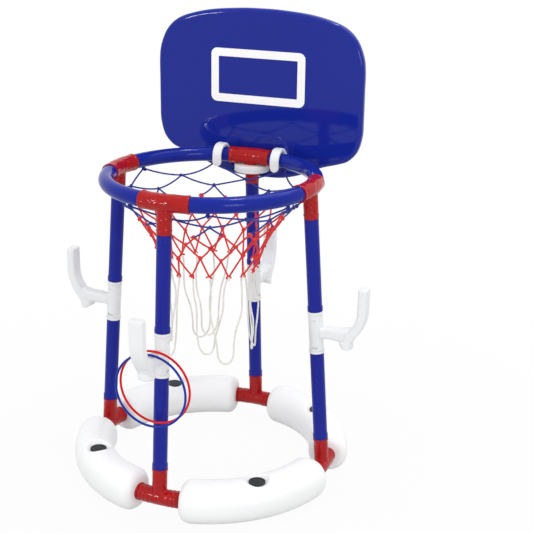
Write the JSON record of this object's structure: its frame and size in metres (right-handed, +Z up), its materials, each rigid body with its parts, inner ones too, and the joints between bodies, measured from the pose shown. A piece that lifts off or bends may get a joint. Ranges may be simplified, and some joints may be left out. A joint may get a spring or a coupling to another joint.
{
  "type": "floating basketball hoop",
  "caption": "Pool basketball hoop on a ring of hollow floats, with leaning tube legs, a netted rim, a backboard and tossing rings on a hook.",
  "frame": {"origin": "middle of the hoop, at the level that the floats stand on", "axes": "+Z up, +Y from the middle towards the backboard, +X to the right of a player who faces the board"},
  "size_m": [0.5824, 0.5824, 0.816],
  "materials": {
    "float": "satin white",
    "plug": "matte black",
    "tee": "glossy red",
    "leg_tube": "satin deep blue",
    "hook": "satin white",
    "rim_tube": "glossy blue",
    "board": "glossy dark blue",
    "paint": "printed white",
    "screw": "plain steel",
    "cord_blue": "twisted cord",
    "cord_red": "twisted cord",
    "cord_white": "thin twisted cord",
    "ring_red": "glossy bright red",
    "ring_blue": "glossy royal blue"
  },
  "bodies": {
    "frame": {"float_front_right": "float", "float_back_right": "float", "float_back_left": "float", "float_front_left": "float", "base_tee_front": "tee", "base_tee_right": "tee", "base_tee_back": "tee", "base_tee_left": "tee", "lower_tube_front": "leg_tube", "lower_tube_right": "leg_tube", "lower_tube_back": "leg_tube", "lower_tube_left": "leg_tube", "hook_coupler_front": "hook", "hook_coupler_right": "hook", "hook_coupler_back": "hook", "hook_coupler_left": "hook", "upper_tube_front": "leg_tube", "upper_tube_right": "leg_tube", "upper_tube_back": "leg_tube", "upper_tube_left": "leg_tube", "rim_tee_front": "tee", "rim_tee_right": "tee", "rim_tee_back": "tee", "rim_tee_left": "tee", "rim_arc_front_right": "rim_tube", "rim_arc_back_right": "rim_tube", "rim_arc_back_left": "rim_tube", "rim_arc_front_left": "rim_tube", "backboard": "board", "target_frame": "paint", "rim_clip_left": "hook", "rim_clip_right": "hook", "backboard_collar": "hook", "clip_screw_left": "screw", "clip_screw_right": "screw", "collar_screw_left": "screw", "collar_screw_right": "screw", "net_blue": "cord_blue", "net_red": "cord_red", "net_tassel_1": "cord_white", "net_tassel_2": "cord_white", "net_tassel_3": "cord_white", "net_tassel_4": "cord_white", "net_tassel_5": "cord_white", "net_tassel_6": "cord_white", "net_tassel_7": "cord_white", "net_tassel_8": "cord_white"},
    "plug_front_right": {"float_plug_front_right": "plug"},
    "plug_back_right": {"float_plug_back_right": "plug"},
    "plug_back_left": {"float_plug_back_left": "plug"},
    "plug_front_left": {"float_plug_front_left": "plug"},
    "ring_red": {"toss_ring_red": "ring_red"},
    "ring_blue": {"toss_ring_blue": "ring_blue"}
  },
  "joints": [
    {"name": "plug_pull_front_right", "type": "slide", "parent": "frame", "child": "plug_front_right", "axis": [0, 0, 1], "range_m": [0, 0.025]},
    {"name": "plug_pull_back_right", "type": "slide", "parent": "frame", "child": "plug_back_right", "axis": [0, 0, 1], "range_m": [0, 0.025]},
    {"name": "plug_pull_back_left", "type": "slide", "parent": "frame", "child": "plug_back_left", "axis": [0, 0, 1], "range_m": [0, 0.025]},
    {"name": "plug_pull_front_left", "type": "slide", "parent": "frame", "child": "plug_front_left", "axis": [0, 0, 1], "range_m": [0, 0.025]},
    {"name": "ring_swing_red", "type": "hinge", "parent": "frame", "child": "ring_red", "pos_m": [0, -0.22741, 0.29302], "axis": [0, -1, 0], "range_deg": [-75, 75]},
    {"name": "ring_swing_blue", "type": "hinge", "parent": "frame", "child": "ring_blue", "pos_m": [0, -0.24341, 0.29302], "axis": [0, -1, 0], "range_deg": [-75, 75]}
  ]
}
